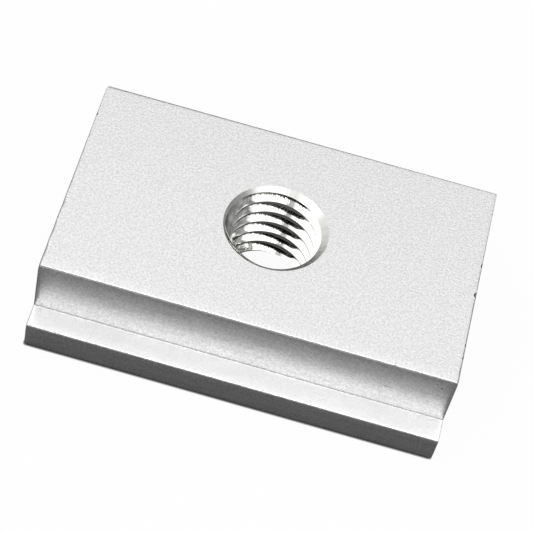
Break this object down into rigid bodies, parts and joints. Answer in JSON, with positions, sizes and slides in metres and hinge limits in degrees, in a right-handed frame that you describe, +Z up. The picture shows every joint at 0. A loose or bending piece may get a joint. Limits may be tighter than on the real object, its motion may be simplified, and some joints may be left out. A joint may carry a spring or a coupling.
{
  "type": "t slot nut",
  "caption": "Oblong T-section nut in matte aluminium with a tapped through hole: a wide bottom flange bears under a slot's lips and the narrower neck rides in its mouth.",
  "frame": {"origin": "centre of the bottom face, on the axis of the tapped hole", "axes": "+X along the slot (the length), +Y across the slot, +Z up the axis of the thread, from the flange to the neck's top face"},
  "size_m": [0.032, 0.023, 0.0075],
  "materials": {
    "blasted_aluminium": "fine matte blasted and clear anodised, with bright cut thread"
  },
  "bodies": {
    "root": {"t_slot_nut": "blasted_aluminium"}
  },
  "joints": []
}
